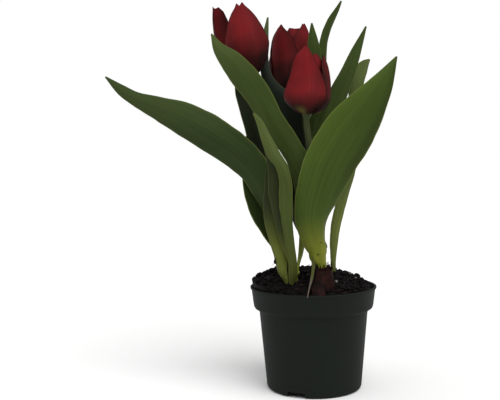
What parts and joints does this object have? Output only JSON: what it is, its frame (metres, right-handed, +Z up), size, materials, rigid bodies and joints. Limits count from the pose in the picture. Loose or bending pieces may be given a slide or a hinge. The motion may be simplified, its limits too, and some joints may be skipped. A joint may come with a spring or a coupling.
{
  "type": "potted tulip",
  "caption": "Red tulips in bloom with long pointed leaves, grown from bulbs in a round tapered plastic grower's pot filled with dark potting soil.",
  "frame": {"origin": "centre of the pot's flat underside", "axes": "+Z up along the pot's axis, -Y towards the front of the plant, +X to its right"},
  "size_m": [0.2614, 0.1213, 0.3707],
  "materials": {
    "pot_plastic": "satin moulded dark grey-green plastic",
    "potting_soil": "damp crumbly peat with bark and perlite",
    "bulb_skin": "papery brown tunic, slightly glossy",
    "leaf": "waxy, faintly bluish green with parallel veins",
    "stem": "smooth, waxy light green",
    "petal": "satin, finely streaked along its length",
    "pistil": "matt pale green with dark anthers",
    "dry_sheath": "dry, papery"
  },
  "bodies": {
    "root": {"pot": "pot_plastic", "soil": "potting_soil", "bulb_left": "bulb_skin", "bulb_back": "bulb_skin", "bulb_right": "bulb_skin", "leaf_wide_right": "leaf", "leaf_across": "leaf", "leaf_narrow_right": "leaf", "leaf_far_left": "leaf", "leaf_sheath_left": "leaf", "leaf_front_small": "leaf", "leaf_front_inner": "leaf", "leaf_upright_right": "leaf", "leaf_left_upper": "leaf", "leaf_left_low": "leaf", "leaf_hooked_back": "leaf", "leaf_middle_back": "leaf", "leaf_curled_top": "leaf", "stem_left": "stem", "stem_back": "stem", "stem_right": "stem", "tepal_left_outer_1": "petal", "tepal_left_outer_2": "petal", "tepal_left_outer_3": "petal", "tepal_left_inner_1": "petal", "tepal_left_inner_2": "petal", "tepal_left_inner_3": "petal", "tepal_back_outer_1": "petal", "tepal_back_outer_2": "petal", "tepal_back_outer_3": "petal", "tepal_back_inner_1": "petal", "tepal_back_inner_2": "petal", "tepal_back_inner_3": "petal", "tepal_right_outer_1": "petal", "tepal_right_outer_2": "petal", "tepal_right_outer_3": "petal", "tepal_right_inner_1": "petal", "tepal_right_inner_2": "petal", "tepal_right_inner_3": "petal", "pistil_left": "pistil", "pistil_back": "pistil", "pistil_right": "pistil", "dry_strand": "dry_sheath"}
  },
  "joints": []
}
